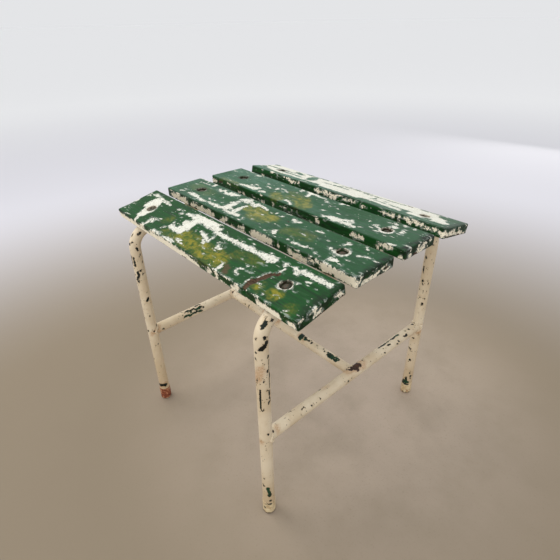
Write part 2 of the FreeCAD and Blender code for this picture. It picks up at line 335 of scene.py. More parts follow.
def bolt_material():
    """Dull dark steel with rust and scraps of green paint."""
    s = Shader("dark_bolt_metal")
    fine = s.noise((900, 900, 900), 5, 0.6)
    blots = s.noise((260, 260, 260), 4, 0.6)
    colour = s.mix(s.ramp(fine, 0.3, 0.7), srgb(38, 40, 30), srgb(80, 80, 64))
    colour = s.mix(s.ramp(blots, 0.45, 0.6, 0.0, 0.7), colour, srgb(84, 60, 40))
    colour = s.mix(s.ramp(blots, 0.3, 0.42, 0.8, 0.0), colour, srgb(40, 74, 48))
    roughness = s.ramp(fine, 0.2, 0.8, 0.42, 0.75)
    return s.finish(colour, roughness, s.bump(fine, 0.0004, 0.6), 0.3)


def zinc_material():
    """Dull zinc plate with brown bloom."""
    s = Shader("dull_zinc_metal")
    fine = s.noise((700, 700, 700), 5, 0.6)
    blots = s.noise((180, 180, 180), 4, 0.6)
    colour = s.mix(s.ramp(fine, 0.3, 0.7), srgb(120, 118, 110), srgb(158, 156, 148))
    colour = s.mix(s.ramp(blots, 0.5, 0.66, 0.0, 0.85), colour, srgb(112, 76, 48))
    roughness = s.ramp(blots, 0.3, 0.7, 0.4, 0.8)
    return s.finish(colour, roughness, s.bump(fine, 0.0003, 0.5), 0.5)


def cap_material():
    """Pressed steel foot cap: cream paint worn through to rust."""
    s = Shader("foot_cap_metal")
    fine = s.noise((620, 620, 620), 5, 0.65)
    flakes = s.cells((520, 520, 520))
    blots = s.noise((150, 150, 150), 5, 0.65, 0.5)
    cream = s.mix(s.ramp(blots, 0.35, 0.7), srgb(222, 204, 166), srgb(184, 158, 116))
    rust = s.mix(s.ramp(fine, 0.3, 0.7), srgb(84, 34, 20), srgb(164, 84, 46))
    rust = s.mix(s.ramp(blots, 0.5, 0.62, 0.0, 0.85), rust, srgb(206, 152, 112))
    rust = s.mix(s.ramp(blots, 0.34, 0.44, 0.9, 0.0), rust, srgb(44, 26, 18))
    rust_mask = s.ramp(torn_depth(s, s.attribute("bare"), fine, flakes, 4.5), -0.4, 0.4)
    dark_mask = s.ramp(torn_depth(s, s.attribute("chip"), fine, flakes, 3.4), -0.25, 0.25)
    colour = s.mix(rust_mask, cream, rust)
    colour = s.mix(dark_mask, colour, srgb(30, 34, 24))
    roughness = s.times_plus(rust_mask, 0.25, 0.5)
    relief = s.times_plus(fine, 0.35, s.times(rust_mask, -0.8))
    return s.finish(colour, roughness, s.bump(relief, 0.0004, 0.8))


# ---------------------------------------------------------------- slats

SLAT_LENGTH = 470.0
# Each slat's front and back edge, across it from its bolt line.
SLAT_EDGES = {
    "front_outer": (-38.5, 44.8),
    "front_inner": (-40.0, 38.5),
    "back_inner": (-38.5, 38.5),
    "back_outer": (-38.5, 38.5),
}
SLAT_THICKNESS = 17.5
SLAT_EDGE = 2.6
BOLT_U = 176.0
GRID_STEP = 1.6
HOLE_BLOCK = 12.0
# The counterbore's profile: radius and depth of each ring, from the rim inwards.
HOLE_RINGS = (
    (11.0, 0.0), (10.0, 0.05), (9.5, 0.25), (9.0, 0.8), (8.7, 1.5), (8.6, 2.6), (8.5, 3.8), (8.4, 4.6),
    (8.0, 4.95), (6.0, 5.0), (3.0, 5.0),
)
# Between these two radii the counterbore's wall is ragged, by this much.
RAGGED_FROM = 8.45
RAGGED_TO = 10.5
RAGGED_BY = 0.45
TILT_STEP = 0.05
TILT_STEPS = 260
# Where the grid's lines lie inside a rounded edge, as parts of its radius.
EDGE_PARTS = (0.0, 0.28, 0.55, 0.8, 1.0)


def slat_axes(name):
    """The slat's origin (under its bolt line) and the tilt of its cross-section, from the CAD corners."""
    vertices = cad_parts["slat_" + name].data.vertices
    points = np.array([vertex.co for vertex in vertices]) / MM
    low, high = points.min(0), points.max(0)
    rise = 1 if name.startswith("front") else -1
    # The board lies flat at the tilt that makes its cross-section lowest.
    best = None
    for step in range(TILT_STEPS):
        tilt = math.radians(rise * step * TILT_STEP)
        along = points[:, 1] * math.cos(tilt) + points[:, 2] * math.sin(tilt)
        up = points[:, 2] * math.cos(tilt) - points[:, 1] * math.sin(tilt)
        spread = up.max() - up.min()
        if best is None or spread < best[0]:
            best = (spread, tilt, (along.max() + along.min()) / 2, up.min())
    tilt, along, up = best[1:]
    along -= sum(SLAT_EDGES[name]) / 2
    origin = np.array([(low[0] + high[0]) / 2,
                       along * math.cos(tilt) - up * math.sin(tilt),
                       along * math.sin(tilt) + up * math.cos(tilt)])
    return origin, tilt


def graded(length, step, edge):
    """Coordinates from -length/2 to length/2, closer together inside the rounded edges."""
    near = np.array(EDGE_PARTS) * edge
    middle = np.linspace(edge, length - edge, max(2, round((length - 2 * edge) / step)) + 1)[1:-1]
    return np.concatenate([near, middle, (length - near)[::-1]]) - length / 2


def slat_shell(front, back):
    """A board's surface points (u, v, h before rounding) and faces, with the two bolt blocks left open."""
    us = graded(SLAT_LENGTH, GRID_STEP, SLAT_EDGE)
    vs = graded(back - front, GRID_STEP, SLAT_EDGE) + (back + front) / 2
    hs = graded(SLAT_THICKNESS, GRID_STEP, SLAT_EDGE) + SLAT_THICKNESS / 2
    index = {}
    points = []
    faces = []

    def number(i, j, k):
        key = (i, j, k)
        if key not in index:
            index[key] = len(points)
            points.append((us[i], vs[j], hs[k]))
        return index[key]

    def quad(*corners):
        faces.append(tuple(number(*corner) for corner in corners))

    nu, nv, nh = len(us) - 1, len(vs) - 1, len(hs) - 1
    loops = []
    open_cells = set()
    for centre in (-BOLT_U, BOLT_U):
        columns = [i for i in range(nu) if abs((us[i] + us[i + 1]) / 2 - centre) < HOLE_BLOCK]
        rows = [j for j in range(nv) if abs((vs[j] + vs[j + 1]) / 2) < HOLE_BLOCK]
        open_cells.update((i, j) for i in columns for j in rows)
        i0, i1, j0, j1 = columns[0], columns[-1] + 1, rows[0], rows[-1] + 1
        loop = [(i, j0) for i in range(i0, i1)] + [(i1, j) for j in range(j0, j1)]
        loop += [(i, j1) for i in range(i1, i0, -1)] + [(i0, j) for j in range(j1, j0, -1)]
        loops.append((centre, loop))
    for i in range(nu):
        for j in range(nv):
            quad((i, j, 0), (i, j + 1, 0), (i + 1, j + 1, 0), (i + 1, j, 0))
            if (i, j) not in open_cells:
                quad((i, j, nh), (i + 1, j, nh), (i + 1, j + 1, nh), (i, j + 1, nh))
    for i in range(nu):
        for k in range(nh):
            quad((i, 0, k), (i + 1, 0, k), (i + 1, 0, k + 1), (i, 0, k + 1))
            quad((i, nv, k), (i, nv, k + 1), (i + 1, nv, k + 1), (i + 1, nv, k))
    for j in range(nv):
        for k in range(nh):
            quad((0, j, k), (0, j, k + 1), (0, j + 1, k + 1), (0, j + 1, k))
            quad((nu, j, k), (nu, j + 1, k), (nu, j + 1, k + 1), (nu, j, k + 1))
    rims = [(centre, [number(i, j, nh) for i, j in loop]) for centre, loop in loops]
    return np.array(points), faces, rims


def round_board(points, front, back):
    """Points of a sharp-edged board moved onto the same board with rounded edges."""
    centre = np.array([0, (back + front) / 2, SLAT_THICKNESS / 2])
    half = np.array([SLAT_LENGTH, back - front, SLAT_THICKNESS]) / 2 - SLAT_EDGE
    inner = np.clip(points - centre, -half, half)
    out = points - centre - inner
    out /= np.maximum(np.linalg.norm(out, axis=1), 1e-9)[:, None]
    return centre + inner + out * SLAT_EDGE, out


def add_counterbores(points, normals, faces, rims, seed):
    """Rings of points down into each counterbore, joined to the open block's edge."""
    points = list(points)
    normals = list(normals)
    for centre, rim in rims:
        offsets = np.array([points[n][:2] for n in rim]) - (centre, 0)
        angles = np.arctan2(offsets[:, 1], offsets[:, 0])
        circle = np.stack([np.cos(angles) * 5, np.sin(angles) * 5, np.full(len(angles), centre)], 1)
        ragged = noise(circle, (3, 3, 3), seed + 40)
        previous = list(rim)
        for radius, depth in HOLE_RINGS:
            wobble = ragged * (RAGGED_BY if RAGGED_FROM < radius < RAGGED_TO else 0.0)
            ring = []
            for angle, shift in zip(angles, wobble):
                ring.append(len(points))
                reach = radius + shift
                points.append((centre + reach * math.cos(angle), reach * math.sin(angle),
                               SLAT_THICKNESS - depth))
                normals.append((0, 0, 1.0 if depth < 0.1 else 0.0))
            for n in range(len(ring)):
                m = (n + 1) % len(ring)
                faces.append((previous[n], previous[m], ring[m], ring[n]))
            previous = ring
        middle = len(points)
        points.append((centre, 0.0, SLAT_THICKNESS - HOLE_RINGS[-1][1]))
        normals.append((0, 0, 0.0))
        for n in range(len(previous)):
            faces.append((previous[n], previous[(n + 1) % len(previous)], middle))
    return np.array(points), np.array(normals), faces


def face_strokes(marks, face, front):
    """3-D strokes from a face's flat marks: (a, b, radius) spots or (a1, b1, a2, b2, radius) strokes."""
    lift = {
        "top": lambda a, b: (a, b, SLAT_THICKNESS),
        "front": lambda a, b: (a, front, b),
        "right": lambda a, b: (SLAT_LENGTH / 2, a, b),
    }[face]
    strokes = []
    for mark in marks:
        start, end = mark[:2], mark[-3:-1]
        strokes.append((lift(*start), lift(*end), mark[-1]))
    return strokes


# Each slat's paint: marks on its top are (u, v), on its front (u, h) and on its right end (v, h). A mark is a
# spot (a, b, radius) or a stroke (a1, b1, a2, b2, radius); a stain has its strength last. Ring sizes are the
# bare rings round the counterbores and halo is the dirt round them; the two other strengths are the painted
# sheen on the top and the painted shade at the right end.
SLATS = {}
SLATS["front_outer"] = {
    "seed": 11, "haze": 0.0, "ring_left": 2.5, "ring_right": 2.6, "halo": 0.3, "end_dark": 0.75,
    "brown": [(82, -22, 88, -32, 5), (74, -16, 3)],
    "cream": {
        "top": [
            (-216, 32, -152, 26, 3.5), (-197, 20, -193, 2, 9), (-185, 18, -175, -5, 12.5),
            (-178, -10, -174, -20, 10), (-231, -14, -231, 8, 1.8), (-230, 20, -230, 32, 1.6),
            (-172, -30, -168, -36, 4), (-234, 5, -232, -25, 3), (-126, 27, 4.5), (-105, 22, -106, 18, 2.5),
            (-140, -18, -138, -31, 5), (-135, -20, -130, -22, 4), (-97, 27, -60, 27, 5),
            (-75, 33, -20, 33, 6), (-60, 27, -5, 27, 6), (-5, 22, 45, 22, 4.8), (52, 24, 60, 22, 4),
            (60, 23, 100, 24, 5.2), (100, 24, 126, 27, 6), (121, 20, 4), (-62, 25, -62, -5, 9),
            (-70, 8, -62, -10, 9), (-90, -10, -60, -13, 6), (-95, -3, 4), (-98, -20, -97, -24, 2.5),
            (-105, -37, -85, -36, 4), (-70, -37, -45, -36, 3.5), (-35, -34, 2), (-27, 10, -12, 8, 3),
            (-20, 6, -8, 2, 4), (-10, 5, 5, -3, 4), (3, 12, 5, -4, 4), (-5, -6, 2, -9, 3),
            (20, 8, 36, 9, 1.5), (22, 6, 28, -2, 2), (28, -3, 38, -3, 2.5), (40, 2, 2), (-38, 5, 2.5),
            (72, -25, 74, -33, 3.4), (96, -15, 106, -11, 2.4), (97, -20, 1.8), (114, -12, 120, -11, 1.8),
            (100, -24, 107, -25, 2), (117, 10, 2), (147, 30, 147, 25, 3), (153, 20, 149, 10, 2.2),
            (132, -36, 132, -18, 1.6), (133, -15, 140, 3, 1.6), (163, 31, 172, 25, 4),
            (172, 22, 172, 30, 4), (175, 32, 222, 31, 5), (180, 27, 200, 32, 3), (187, 10, 1.5),
            (207, -35, 212, -33, 2), (200, -39, 226, -39, 1.6), (235, -5, 236, -20, 1.8),
            (60, -38.5, 190, -38.5, 1.2),
        ],
        "front": [
            (-236, 5, -150, 5, 8), (-150, 3, -116, 3, 5), (-112, 7, 0, 7, 8), (0, 4, 22, 4, 7),
            (50, 5, 58, 9, 5), (72, 2, 76, 12, 5), (112, 2, 122, 10, 6), (0, 0, 150, 0, 2.5),
            (165, 6, 200, 6, 8), (221, 7, 229, 6, 4.6),
        ],
        "right": [
            (-26, 11, -23, 9, 2.5), (-18, 14, 0, 13, 1.2), (-26, 5, -12, 5, 2), (-13, 5, -1, 6, 4),
            (26, 9, 32, 8, 5), (31, 5, 37, 4, 4),
        ],
    },
    "bare": {
        "top": [(138, -40, 137, -20, 4.4), (138, -18, 144, 1, 4.4), (146, 3, 151, 8, 3.2)],
        "front": [(-20, 2, -8, 1, 2.0)],
        "right": [(-8, 2, 4, 2, 2), (33, 1, 37, 2, 2.5)],
    },
    "stain": [
        (-45, -18, 62, -22, 15, 1.0), (15, -12, 45, -12, 9, 0.9), (-85, -25, -60, -28, 8, 0.5),
        (-110, -3, 10, 0.5), (70, 3, 110, 10, 11, 0.35), (150, -25, 8, 1.0), (178, -21, 11, 1.0),
        (214, -28, 9, 0.5), (-50, -8, -15, -5, 7, 0.5),
    ],
    "gouge": [(138, -42, 137, -18, 4), (138, -18, 145, 2, 4), (146, 3, 152, 8, 3.5)],
}
SLATS["front_inner"] = {
    "seed": 23, "haze": 0.36, "ring_left": 0.4, "ring_right": 5.4, "halo": 1.0, "end_dark": 0.9,
    "cream": {
        "top": [
            (-236, 38, -205, 37, 2.5), (-203, 33, 3), (-178, 35, -174, 28, 4.5), (-152, 25, -140, 20, 4),
            (-140, 27, -125, 20, 4), (-120, 24, -103, 28, 6), (-125, 18, -110, 22, 4), (-88, 23, 2.5),
            (-75, 25, -65, 27, 6), (-60, 28, -55, 25, 4), (-78, 22, -60, 20, 4), (-75, 12, -78, 0, 4),
            (-70, 0, -70, -20, 7), (-75, -20, -60, -15, 4), (-50, 5, -48, -20, 5), (-47, -10, -43, -25, 5),
            (-203, -28, -195, -27, 3), (-178, -25, -125, -29, 5), (-170, -22, -150, -25, 4),
            (-120, -27, -112, -25, 3), (-107, -27, -90, -25, 4), (-90, -27, -65, -23, 4),
            (-65, -27, -50, -28, 4.5), (-48, -28, -30, -26, 5), (-48, 22, -40, 28, 4),
            (-45, 27, -10, 24, 4), (-42, 18, -35, 20, 4), (-20, 25, -10, 22, 3.5),
            (-130, -13, -120, -17, 2.5), (-94, -10, 2.5), (-15, -25, -8, -30, 1.5), (5, 20, 2),
            (13, 25, 2.5), (25, 28, 2), (50, 27, 55, 24, 4), (60, 23, 67, 26, 3.5), (108, 24, 117, 23, 3),
            (58, -22, 62, -28, 5), (67, -28, 2), (47, -31, 2.5), (22, -21, 2), (95, -28, 2.5),
            (105, -26, 3), (108, -28, 132, -27, 3.5), (152, -28, 2.5), (162, -32, 2), (140, 10, 2),
            (131, 6, 1.5), (165, 18, 163, 12, 2.5), (160, -5, 165, -9, 2.5), (178, -27, 185, -25, 4.5),
            (175, -18, 2), (168, 25, 3.5), (178, 30, 2), (193, 33, 195, 28, 2.5), (200, 38, 2),
            (210, -15, 1.5), (200, -30, 2), (230, -28, 236, -32, 2),
        ],
        "front": [
            (-217, 7, -165, 7, 6), (-150, 5, -135, 10, 4), (-127, 6, -113, 9, 5), (-104, 6, -82, 7, 5.5),
            (-60, 2, -43, 10, 5), (-45, 1, 4, 3, 3), (-10, 8, 3, 9, 4), (25, 8, 69, 8, 7),
            (87, 9, 87, 13, 2.5), (112, 6, 144, 4, 6), (115, 8, 135, 9, 4), (160, 15, 168, 14, 3),
            (177, 10, 205, 9, 8), (212, 8, 236, 8, 8),
        ],
        "right": [
            (-29, 6, -2, 4, 4), (0, 12, 6, 8, 2), (8, 10, 22, 11, 2.5), (14, 6, 24, 5, 3),
            (26, 6, 37, 4, 3.5), (-38, 12, 3),
        ],
    },
    "bare": {
        "top": [(45, 15, 52, 14, 1.5)],
        "front": [(180, 2, 192, 2, 1.6)],
        "right": [(16, 8, 22, 7, 2.5), (-35, 5, 2.5)],
    },
    "stain": [
        (-35, 8, 22, 2, 15, 1.0), (-15, -12, 10, -14, 8, 0.5), (75, -8, 110, -2, 14, 0.3),
        (-200, 5, -150, 0, 14, 0.18),
    ],
}
SLATS["back_inner"] = {
    "seed": 37, "haze": 0.5, "ring_left": -1.5, "ring_right": 4.8, "halo": 1.0, "end_dark": 1.0,
    "cream": {
        "top": [
            (-40, 36, -35, 28, 4), (-25, 35, -8, 32, 5), (-15, 28, -10, 15, 5), (-5, 33, 5, 30, 4),
            (-37, 15, 2.5), (-148, -30, -135, -30, 4), (-135, -28, -105, -26, 6), (-110, -17, -103, -20, 5),
            (-130, -17, 3), (-90, -30, -82, -28, 4.5), (-80, 0, -78, 5, 4.5), (-100, 0, -90, -3, 2.5),
            (-25, -25, -18, -25, 4), (-15, -27, -5, -32, 3), (-38, -28, 2.5), (20, 30, 28, 25, 3),
            (33, 25, 38, 20, 3), (36, 6, 2.5), (52, 9, 2.5), (57, 36, 58, 32, 4), (3, 30, 3),
            (70, -30, 78, -31, 4), (82, -27, 95, -22, 5), (90, -28, 125, -27, 6.5), (100, -20, 118, -15, 4),
            (120, -12, 125, -18, 4), (130, -28, 136, -28, 5), (142, -22, 3), (137, 8, 2.5),
            (153, 1, 165, -3, 4), (160, 26, 165, 25, 2.5), (168, 30, 172, 27, 3.5), (185, 35, 190, 32, 3.5),
            (175, 18, 182, 15, 4), (170, 10, 175, 18, 2.5), (197, 15, 199, 5, 3), (205, 32, 3),
            (205, -38, 215, -36, 2), (-170, 32, -160, 30, 2),
        ],
        "front": [
            (-234, 8, -218, 9, 4), (-180, 13, -172, 13, 2), (-144, 4, -126, 3, 2.5), (-82, 5, -66, 3, 2.5),
            (-43, 8, -43, 3, 1.8), (65, 9, 70, 7, 3.5), (138, 8, 160, 10, 4), (192, 12, 212, 12, 4),
            (186, 6, 200, 3, 2.5), (228, 4, 236, 3, 3),
        ],
        "right": [
            (-31, 6, -22, 6, 4), (-9, 6, 6, 5, 3.5), (11, 5, 15, 3, 2.5), (-6, 13, 14, 11, 1.3),
            (27, 12, 2),
        ],
    },
    "bare": {
        "front": [(-208, 10, -200, 11, 1.8)],
        "right": [(-36, 4, 3), (-16, 3, -8, 3, 2)],
    },
    "stain": [
        (-55, -20, -38, -28, 12, 0.8), (2, -8, 18, -22, 15, 0.9), (-30, -10, 0, -14, 12, 0.4),
        (-200, -36, -150, -36, 6, 0.4), (-45, 8, -5, 6, 9, 0.3),
    ],
}
SLATS["back_outer"] = {
    "seed": 53, "haze": 0.65, "ring_left": 0.0, "ring_right": 0.0, "halo": 1.0, "end_dark": 0.8,
    "cream": {
        "top": [
            (-236, 22, 236, 22, 20), (-236, -2, 236, -2, 17), (-190, -18, -60, -14, 7),
            (-40, -20, 60, -16, 9), (70, -12, 200, -14, 8),
        ],
        "front": [
            (-118, 14, -88, 13, 4), (-150, 15, -120, 15, 1.5), (-38, 12, -8, 12, 5), (-6, 9, 14, 9, 4.5),
            (30, 12, 62, 13, 3.5), (75, 9, 83, 9, 3), (120, 11, 150, 14, 4), (160, 12, 172, 10, 2.5),
            (180, 11, 190, 13, 4), (197, 11, 218, 12, 5), (228, 8, 236, 6, 4),
        ],
        "right": [(-36, 9, -20, 8, 5), (-20, 7, 0, 7, 5.5), (0, 8, 28, 8, 6), (28, 6, 37, 5, 4.5)],
    },
    "green": {
        "top": [
            (-98, 22, -88, 0, 9), (-90, -10, 6), (204, 30, 232, 22, 14), (230, 30, 230, -34, 7.5),
            (214, 8, 222, 4, 6), (190, -16, 6), (-150, 22, -128, 14, 5), (-52, 36, 5), (-20, 14, 5),
            (10, 34, 5), (-10, 36, 3), (60, -22, 108, -26, 7), (142, -12, 148, -24, 6),
            (-228, 6, -146, 8, 2.2), (-62, 10, 2, 12, 1.8), (34, 24, 118, 27, 1.4),
            (-182, -8, -112, -6, 2.8), (80, -3, 150, -6, 1.6), (-30, 28, 40, 30, 1.2),
            (150, 34, 190, 35, 1.6), (-130, 34, -70, 35, 2.0), (160, -26, 230, -28, 3.5),
            (-225, -10, -215, -16, 6), (-232, 32, -222, 34, 4), (-236, -34, 236, -36, 5), (92, 8, 2.5),
            (66, 2, 66, 12, 2),
        ],
    },
    "bare": {
        "top": [(122, 30, 134, 31, 1.5)],
        "right": [(-12, 8, -8, 8, 2), (-34, 3, 30, 1.5, 1.4)],
    },
    "stain": [(-190, -10, -150, -20, 12, 0.35)],
}


class Board:
    """One slat's surface, and the noises and distances that its paint wear is worked out from."""

    def __init__(self, name, look):
        self.look = look
        self.seed = look["seed"]
        self.front, back = SLAT_EDGES[name]
        points, faces, rims = slat_shell(self.front, back)
        points, normals = round_board(points, self.front, back)
        self.points, self.normals, self.faces = add_counterbores(points, normals, faces, rims, self.seed)
        self.u, self.v, self.h = self.points.T
        self.warped = self.points + np.stack([self.lumps((16, 9, 9), 0, 2) * 2.6,
                                              self.lumps((12, 6, 6), 5, 2) * 1.7,
                                              self.lumps((12, 9, 6), 9, 2) * 1.2], 1)
        self.side = 1 - smoothstep(np.abs(self.normals[:, 2]), 0.3, 0.8)
        self.under = smoothstep(-self.normals[:, 2], 0.5, 0.9) > 0.5
        teeth = self.lumps((3.2, 9, 7), 13)
        self.fray = 0.6 * self.lumps((8, 4, 4), 15) + (0.9 + 0.8 * self.side) * teeth
        # Distances to the face's nearest long or short arris, and to the nearer bolt's middle line.
        across = np.minimum(np.minimum(self.v - self.front, back - self.v), SLAT_LENGTH / 2 - np.abs(self.u))
        up = np.minimum(self.h, SLAT_THICKNESS - self.h)
        self.arris_gap = np.where(np.abs(self.normals[:, 2]) > 0.7, across, up)
        self.ring_gap = np.minimum(np.hypot(self.u - BOLT_U, self.v), np.hypot(self.u + BOLT_U, self.v))
        self.wear = self.lumps((30, 16, 16), 17)
        low_edge = smoothstep(SLAT_THICKNESS / 2 - self.h, 0, SLAT_THICKNESS / 2)
        self.edge_wear = self.wear * 2.2 + low_edge * 0.6 - 2.3 - self.arris_gap * 0.9

    def lumps(self, scale, shift, octaves=3):
        """Noise over the board; each shift of the seed is another pattern."""
        return noise(self.points, scale, self.seed + shift, octaves)

    def depth(self, marks_by_face):
        """How deep each point lies inside the marks on its faces."""
        strokes = []
        for face, marks in marks_by_face.items():
            strokes += face_strokes(marks, face, self.front)
        return field(self.warped, strokes)

    def flat(self, height):
        """The warped points, all moved to one height."""
        return np.stack([self.warped[:, 0], self.warped[:, 1], np.full(len(self.points), height)], 1)

    def blot(self, mark):
        """How deep each point lies inside a mark that goes down through the whole board."""
        return stroke_depth(self.flat(0.0), (*mark[:2], 0), (*mark[-3:-1], 0), mark[-1])

    def chips(self):
        """Depth inside the places where the green paint is gone."""
        chip = self.depth(self.look["cream"])
        if "green" in self.look:
            chip = np.minimum(chip, -self.depth(self.look["green"]))
        chip = chip + self.fray * 1.5 - 0.6
        chip = np.maximum(chip, self.edge_wear)
        chip = np.maximum(chip, (self.lumps((14, 5, 5), 21) - 0.86) * 7)
        chip = np.maximum(chip, np.where(self.under, (self.lumps((60, 12, 9), 25) - 0.45) * 7, OUTSIDE))
        # The worn ring round each counterbore is wider on its front right.
        lean = (np.abs(self.u) - BOLT_U) * np.sign(self.u) * 0.5 - self.v * 0.85
        lean = lean / np.maximum(self.ring_gap, 1.0)
        width = np.where(self.u > 0, self.look["ring_right"], self.look["ring_left"])
        ring = 8.6 + width * (0.62 + 0.5 * lean) + self.lumps((6, 6, 6), 29) * 1.2 - self.ring_gap
        chip = np.where(self.ring_gap < 16, np.minimum(chip, width * 3 + 6), chip)
        return np.maximum(chip, np.where(self.h > SLAT_THICKNESS - 3.0, ring, OUTSIDE))

    def bare_wood(self):
        """Depth inside the places where the cream paint is gone too."""
        bare = self.depth(self.look["bare"]) + self.fray * 0.9
        bare = np.maximum(bare, self.edge_wear - 3.4 + self.lumps((18, 10, 8), 33) * 0.8)
        return np.maximum(bare, np.where(self.under, (self.lumps((80, 14, 9), 35) - 0.85) * 7, OUTSIDE))

    def grime(self):
        """Dirt inside the counterbores, and a fainter halo of it round them."""
        inside = smoothstep(9.6 - self.ring_gap, -0.6, 1.2) * (self.h > SLAT_THICKNESS - 6)
        halo = self.look["halo"] * np.where(self.u < 0, 0.6, 0.2)
        round_it = smoothstep(12.5 - self.ring_gap, -2.5, 3.0)
        return np.maximum(inside, halo * round_it * (self.h > SLAT_THICKNESS - 1))

    def stain(self):
        """Olive stains, which fade down the sides."""
        stain = np.zeros(len(self.points))
        for *mark, strength in self.look["stain"]:
            stain = np.maximum(stain, strength * smoothstep(self.blot(mark) + self.fray * 2.5, -5, 6))
        return stain * smoothstep(self.h, SLAT_THICKNESS * 0.3, SLAT_THICKNESS)

    def brown(self):
        """Brown stains on the top."""
        brown = np.zeros(len(self.points))
        for mark in self.look.get("brown", ()):
            brown = np.maximum(brown, smoothstep(self.blot(mark) + self.fray * 2.0, -3, 3))
        return brown * smoothstep(self.h, SLAT_THICKNESS * 0.5, SLAT_THICKNESS)

    def dark_edges(self):
        """Darker along the arrises, with painted shade on the sides and at the right end."""
        end_dark = smoothstep(self.u + 3 * self.wear, 222, 232) * self.look["end_dark"]
        arris = smoothstep(2.2 - self.arris_gap, -0.4, 1.6) * smoothstep(self.wear, -0.9, 0.5)
        edge = np.clip(np.maximum(end_dark, arris * 0.8), 0, 1)
        return np.maximum(edge, self.side * smoothstep(self.lumps((26, 9, 5), 45), -0.2, 0.8) * 0.8)

    def haze(self):
        """Painted sheen on the top, stronger towards the left."""
        haze = self.look["haze"] * smoothstep(self.normals[:, 2], 0.3, 0.9)
        haze = haze * (0.8 + 0.35 * self.lumps((60, 20, 20), 39))
        return np.clip(haze * (1.25 - smoothstep(self.u, -200, 200) * 0.75), 0, 1)

    def worn_points(self, chip, bare):
        """The surface sunk where paint is missing, edges are worn, grain shows or wood is gouged."""
        sink = 0.3 * smoothstep(chip, -0.6, 0.6) + 0.25 * smoothstep(bare, -0.6, 0.6)
        sink += np.clip(self.edge_wear + 0.6, 0, 3) * 0.25
        sink += 0.12 * self.lumps((40, 2.6, 2.6), 43)
        gouge = field(self.flat(SLAT_THICKNESS), face_strokes(self.look.get("gouge", ()), "top", self.front))
        sink += 1.8 * smoothstep(gouge, -1.0, 4.0) * (self.h > SLAT_THICKNESS * 0.5)
        sink = np.maximum(sink, 0.0)
        open_hole = (self.ring_gap < 10.4) & (self.h > SLAT_THICKNESS - 6)
        sink = np.where(open_hole, np.where(self.ring_gap > 9.2, sink * 0.4, 0.0), sink)
        return self.points - self.normals * sink[:, None]


def slat_mesh(name, look, material):
    """One board with rounded, worn edges, counterbores, a grain relief and its paint attributes."""
    board = Board(name, look)
    chip, bare = board.chips(), board.bare_wood()
    u, v, h = board.worn_points(chip, bare).T
    origin, tilt = slat_axes(name)
    world = np.stack([u, v * math.cos(tilt) - h * math.sin(tilt), v * math.sin(tilt) + h * math.cos(tilt)], 1)
    attributes = {"chip": stored(chip), "bare": stored(bare), "stain": board.stain(), "haze": board.haze(),
                  "grime": board.grime(), "side": board.side, "edge": board.dark_edges(),
                  "brown": board.brown()}
    return make_mesh("worn_slat_" + name, world + origin, board.faces, attributes, material)


# ---------------------------------------------------------------- tubes, welds and foot caps

TUBE_RADIUS = 10.0
CROSS_RADIUS = 9.0
CROWN_Z = 412.5
CROWN_RADIUS = 2500.0
CROWN_HALF = 100.0
SHOULDER_RADIUS = 330.0
SHOULDER_TILT = 11.0
CORNER_RADIUS = 35.0
LEG_Y = 201.0
LOW_BAR_Z = 182.0
TUBE_FOOT_Z = 2.0
RING_STEP = 2.0
SEGMENTS = 44


def half_rail():
    """Centre line from the middle of the rail down one leg: (y, z, tilt of the outward side)."""
    path = []
    crown_end = math.asin(CROWN_HALF / CROWN_RADIUS)
    shoulder_end = math.radians(SHOULDER_TILT)

    def arc(y, z, radius, start, end):
        """Points along an arc that starts at (y, z); returns the arc's end point."""
        centre_y, centre_z = y - radius * math.sin(start), z - radius * math.cos(start)
        count = max(2, round(radius * (end - start) / RING_STEP))
        for n in range(count):
            a = start + (end - start) * n / count
            path.append((centre_y + radius * math.sin(a), centre_z + radius * math.cos(a), a))
        return centre_y + radius * math.sin(end), centre_z + radius * math.cos(end)

    y, z = arc(0.0, CROWN_Z, CROWN_RADIUS, 0.0, crown_end)
    y, z = arc(y, z, SHOULDER_RADIUS, crown_end, shoulder_end)
    corner_y = LEG_Y - CORNER_RADIUS * (1 - math.sin(shoulder_end))
    run = corner_y - y
    count = round(run / RING_STEP)
    for n in range(count):
        path.append((y + run * n / count, z - run * n / count * math.tan(shoulder_end), shoulder_end))
    y, z = arc(corner_y, z - run * math.tan(shoulder_end), CORNER_RADIUS, shoulder_end, math.pi / 2)
    count = round((z - TUBE_FOOT_Z) / RING_STEP)
    for n in range(count + 1):
        path.append((LEG_Y, z - (z - TUBE_FOOT_Z) * n / count, math.pi / 2))
    return path


def rail_rings(x):
    """Ring centres, outward directions and sideways directions from the front foot to the back foot."""
    half = half_rail()
    front = [(-y, z, -a) for y, z, a in reversed(half[1:])]
    path = np.array(front + half)
    centres = np.stack([np.full(len(path), x), path[:, 0], path[:, 1]], 1)
    outward = np.stack([np.zeros(len(path)), np.sin(path[:, 2]), np.cos(path[:, 2])], 1)
    sideways = np.tile((1.0, 0.0, 0.0), (len(path), 1))
    return centres, outward, sideways


def tube_depth(s, angle, radius, marks):
    """Depth inside marks given as (s, degrees, r) spots or (s1, degrees1, s2, degrees2, r) strokes."""
    depth = np.full(len(s), OUTSIDE)
    for mark in marks:
        s1, a1, s2, a2, size = *mark[:2], *mark[-3:-1], mark[-1]
        middle = (a1 + a2) / 2
        arc = radius * np.radians((angle - middle + 180) % 360 - 180)
        flat = np.stack([s, arc, np.zeros(len(s))], 1)
        start = (s1, radius * math.radians(a1 - middle), 0)
        end = (s2, radius * math.radians(a2 - middle), 0)
        depth = np.maximum(depth, stroke_depth(flat, start, end, size))
    return depth


def middle_x(node):
    """Where the middle of a CAD node lies along X, in mm."""
    low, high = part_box(node)
    return (low[0] + high[0]) / 2 / MM


